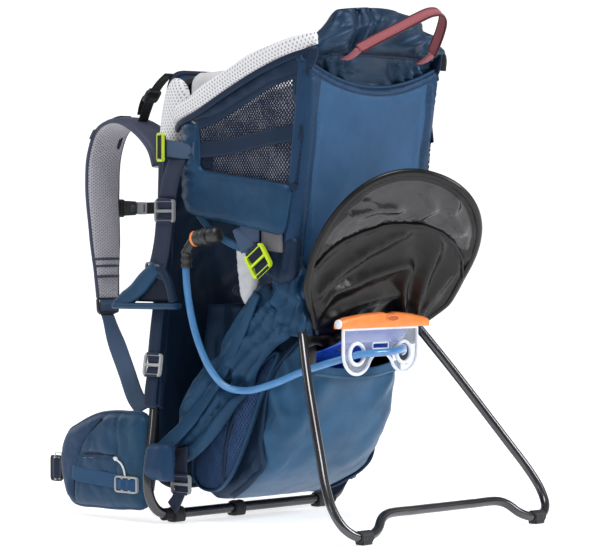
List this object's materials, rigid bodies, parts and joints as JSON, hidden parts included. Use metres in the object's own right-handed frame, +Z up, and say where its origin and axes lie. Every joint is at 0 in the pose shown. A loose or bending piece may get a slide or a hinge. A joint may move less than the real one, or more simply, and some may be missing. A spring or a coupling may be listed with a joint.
{
  "type": "child carrier backpack",
  "caption": "Framed child carrier backpack standing on its base bar and opened kickstand, with cockpit, storage bag and drinking hose.",
  "frame": {"origin": "on the ground, under the middle of the whole object's width and depth", "axes": "+X to the wearer's right, +Y towards the wearer's back, +Z up"},
  "size_m": [0.434, 0.6234, 0.704],
  "materials": {
    "tube": "satin pewter coating on aluminium tube",
    "steel": "brushed",
    "rubber": "matt moulded",
    "black_plastic": "fine moulded grain",
    "grey_plastic": "fine moulded grain",
    "lime_plastic": "smooth moulded",
    "orange_plastic": "smooth moulded",
    "clear_plastic": "milky translucent",
    "navy_fabric": "coarse woven polyamide",
    "blue_fabric": "fine woven polyester with a soft sheen",
    "navy_mesh": "open knitted mesh",
    "grey_mesh": "knitted spacer mesh",
    "webbing": "ribbed webbing",
    "black_webbing": "ribbed webbing",
    "maroon_webbing": "ribbed webbing",
    "black_lining": "coated lining, semi-gloss",
    "blue_film": "translucent film",
    "hose_blue": "translucent tube"
  },
  "bodies": {
    "pack": {"main_frame": "tube", "rear_frame": "tube", "side_strut_left": "tube", "side_strut_right": "tube", "hinge_pin_left": "steel", "hinge_pin_right": "steel", "base_foot_left": "rubber", "base_foot_middle": "rubber", "base_foot_right": "rubber", "hinge_housing_left": "black_plastic", "hinge_housing_right": "black_plastic", "strap_buckle_left": "black_plastic", "strap_buckle_right": "black_plastic", "bite_valve": "black_plastic", "side_buckle_left": "lime_plastic", "side_buckle_right": "lime_plastic", "leg_buckle_left": "lime_plastic", "leg_buckle_right": "lime_plastic", "hanger_plate": "clear_plastic", "back_panel": "navy_fabric", "seat_pad": "navy_fabric", "cockpit_side_left": "blue_fabric", "cockpit_side_right": "blue_fabric", "rear_panel": "blue_fabric", "top_cap": "blue_fabric", "storage_bag": "blue_fabric", "side_pocket_left": "navy_mesh", "side_pocket_right": "navy_mesh", "lumbar_pad": "grey_mesh", "upper_back_pad": "grey_mesh", "back_pad_left": "grey_mesh", "back_pad_right": "grey_mesh", "shoulder_strap_left": "grey_mesh", "shoulder_strap_right": "grey_mesh", "cockpit_rim_left": "grey_mesh", "cockpit_rim_right": "grey_mesh", "chin_pad": "grey_mesh", "seat_back_pad": "grey_mesh", "strap_webbing_left": "webbing", "strap_webbing_right": "webbing", "child_harness": "webbing", "load_lifter_left": "black_webbing", "load_lifter_right": "black_webbing", "water_bladder": "blue_film", "hose": "hose_blue"},
    "kickstand_hoop": {"kickstand": "tube", "kickstand_foot_left": "rubber", "kickstand_foot_right": "rubber"},
    "lid": {"storage_lid": "black_lining"},
    "handle": {"carry_handle": "maroon_webbing"},
    "slider": {"bladder_slider": "orange_plastic"},
    "stirrup_l": {"stirrup_left": "navy_fabric"},
    "stirrup_r": {"stirrup_right": "navy_fabric"},
    "sternum_strap": {"sternum_buckle_socket": "black_plastic", "sternum_buckle_plug": "black_plastic", "sternum_webbing": "webbing"},
    "hip_wing_left": {"hip_fin_left": "navy_fabric", "hip_buckle_left": "grey_plastic"},
    "hip_wing_right": {"hip_fin_right": "navy_fabric", "hip_buckle_right": "grey_plastic"}
  },
  "joints": [
    {"name": "kickstand_fold", "type": "hinge", "parent": "pack", "child": "kickstand_hoop", "pos_m": [0, -0.11813, 0.3], "axis": [1, 0, 0], "range_deg": [0, 57]},
    {"name": "lid_lift", "type": "hinge", "parent": "pack", "child": "lid", "pos_m": [0, -0.13713, 0.264], "axis": [-1, 0, 0], "range_deg": [0, 9]},
    {"name": "carry_handle_tilt", "type": "hinge", "parent": "pack", "child": "handle", "pos_m": [0, -0.20313, 0.643], "axis": [-1, 0, 0], "range_deg": [-45, 35]},
    {"name": "bladder_slider_slide", "type": "slide", "parent": "pack", "child": "slider", "axis": [1, 0, 0], "range_m": [0, 0.12]},
    {"name": "stirrup_left_swing", "type": "hinge", "parent": "pack", "child": "stirrup_l", "pos_m": [-0.172, 0.05387, 0.42], "axis": [1, 0, 0], "range_deg": [-25, 45]},
    {"name": "stirrup_right_swing", "type": "hinge", "parent": "pack", "child": "stirrup_r", "pos_m": [0.172, 0.05387, 0.42], "axis": [1, 0, 0], "range_deg": [-25, 45]},
    {"name": "sternum_strap_height", "type": "slide", "parent": "pack", "child": "sternum_strap", "axis": [0, 0, 1], "range_m": [-0.04, 0.04]},
    {"name": "hip_wing_left_swing", "type": "hinge", "parent": "pack", "child": "hip_wing_left", "pos_m": [-0.181, 0.09387, 0.08], "axis": [0, 0, -1], "range_deg": [-8, 20]},
    {"name": "hip_wing_right_swing", "type": "hinge", "parent": "pack", "child": "hip_wing_right", "pos_m": [0.181, 0.09387, 0.08], "axis": [0, 0, 1], "range_deg": [-8, 20]}
  ]
}
